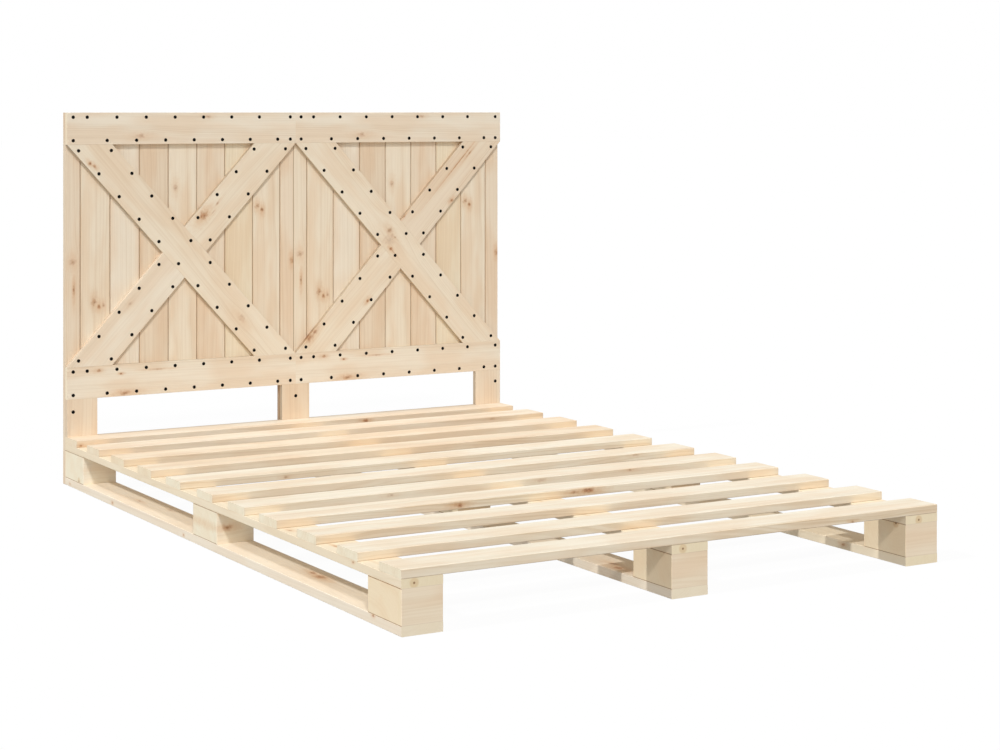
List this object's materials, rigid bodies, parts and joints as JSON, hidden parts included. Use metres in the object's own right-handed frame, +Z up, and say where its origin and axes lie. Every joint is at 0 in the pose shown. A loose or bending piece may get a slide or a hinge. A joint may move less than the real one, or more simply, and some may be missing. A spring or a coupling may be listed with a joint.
{
  "type": "bed frame",
  "caption": "Low double bed frame of raw softwood: slatted deck on board and block sleds, with a tall plank headboard faced with rails and crossed braces.",
  "frame": {"origin": "on the floor under the middle of the whole bed, headboard included", "axes": "+X across the bed to the right seen from the foot, +Y from the foot to the headboard, +Z up"},
  "size_m": [1.4, 2.034, 1.04],
  "materials": {
    "deck_pine": "planed, unfinished",
    "sled_pine": "planed, unfinished",
    "plank_pine": "planed, unfinished",
    "rail_pine": "planed, unfinished",
    "black_nail": "matt black oxide",
    "zinc_screw": "zinc plated"
  },
  "bodies": {
    "root": {"centre_bottom_board": "sled_pine", "centre_foot_block": "sled_pine", "centre_head_block": "sled_pine", "centre_leg_board": "rail_pine", "centre_mid_block": "sled_pine", "centre_top_board": "sled_pine", "headboard_nails": "black_nail", "left_bottom_board": "sled_pine", "left_bottom_rail": "rail_pine", "left_foot_block": "sled_pine", "left_head_block": "sled_pine", "left_inner_stile": "plank_pine", "left_leg_board": "rail_pine", "left_long_brace": "rail_pine", "left_lower_short_brace": "rail_pine", "left_mid_block": "sled_pine", "left_outer_stile": "plank_pine", "left_plank_1": "plank_pine", "left_plank_2": "plank_pine", "left_plank_3": "plank_pine", "left_plank_4": "plank_pine", "left_plank_5": "plank_pine", "left_plank_6": "plank_pine", "left_plank_7": "plank_pine", "left_top_board": "sled_pine", "left_top_rail": "rail_pine", "left_upper_short_brace": "rail_pine", "long_screws": "zinc_screw", "right_bottom_board": "sled_pine", "right_bottom_rail": "rail_pine", "right_foot_block": "sled_pine", "right_head_block": "sled_pine", "right_inner_stile": "plank_pine", "right_leg_board": "rail_pine", "right_long_brace": "rail_pine", "right_lower_short_brace": "rail_pine", "right_mid_block": "sled_pine", "right_outer_stile": "plank_pine", "right_plank_1": "plank_pine", "right_plank_2": "plank_pine", "right_plank_3": "plank_pine", "right_plank_4": "plank_pine", "right_plank_5": "plank_pine", "right_plank_6": "plank_pine", "right_plank_7": "plank_pine", "right_top_board": "sled_pine", "right_top_rail": "rail_pine", "right_upper_short_brace": "rail_pine", "slat_01": "deck_pine", "slat_02": "deck_pine", "slat_03": "deck_pine", "slat_04": "deck_pine", "slat_05": "deck_pine", "slat_06": "deck_pine", "slat_07": "deck_pine", "slat_08": "deck_pine", "slat_09": "deck_pine", "slat_10": "deck_pine", "slat_11": "deck_pine", "slat_screws": "zinc_screw"}
  },
  "joints": []
}
